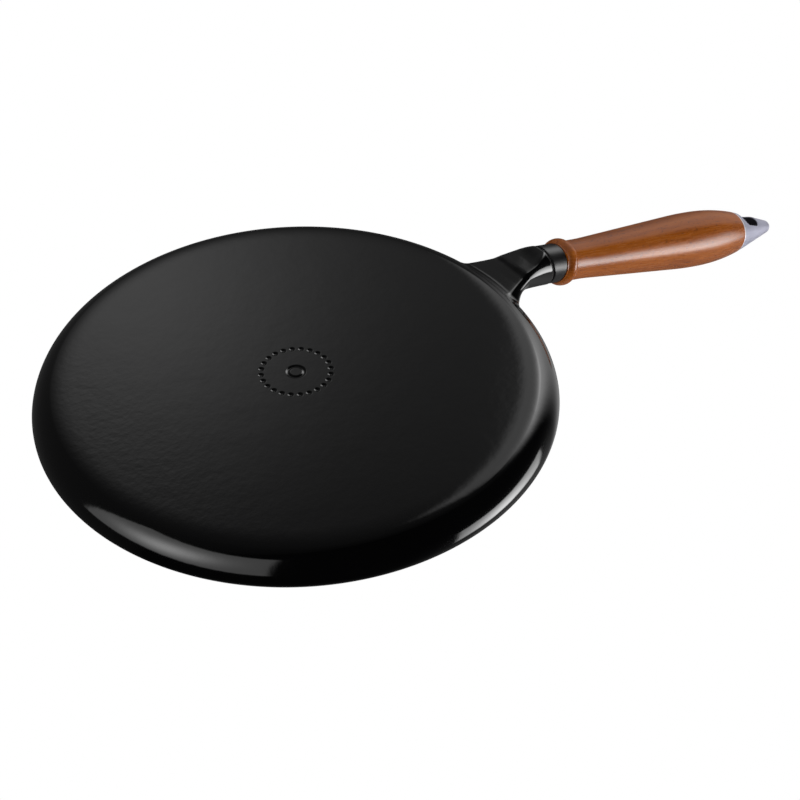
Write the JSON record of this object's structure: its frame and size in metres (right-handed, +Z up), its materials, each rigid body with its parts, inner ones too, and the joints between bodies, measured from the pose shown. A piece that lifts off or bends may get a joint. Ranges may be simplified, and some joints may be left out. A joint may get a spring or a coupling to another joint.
{
  "type": "crepe pan",
  "caption": "Shallow round enamelled cast-iron crepe pan with a low lip, and a turned wooden handle that rises from a flared neck to a metal cap with a hanging eye.",
  "frame": {"origin": "centre of the flat base, on the face that rests on the hob", "axes": "+Z up out of the cooking surface, +X along the handle seen from above, +Y completes a right-handed frame"},
  "size_m": [0.5287, 0.285, 0.0845],
  "materials": {
    "enamelled_iron": "glossy black enamel with a fine orange-peel ripple",
    "seal": "matt black",
    "ferrule": "satin black",
    "beech": "orange-brown stain under clear lacquer",
    "cast_grey_metal": "as cast, satin grey",
    "steel_rod": "plain"
  },
  "bodies": {
    "root": {"pan_casting": "enamelled_iron", "seal_ring": "seal", "ferrule": "ferrule", "grip": "beech", "end_cap": "cast_grey_metal", "tie_rod": "steel_rod"}
  },
  "joints": []
}
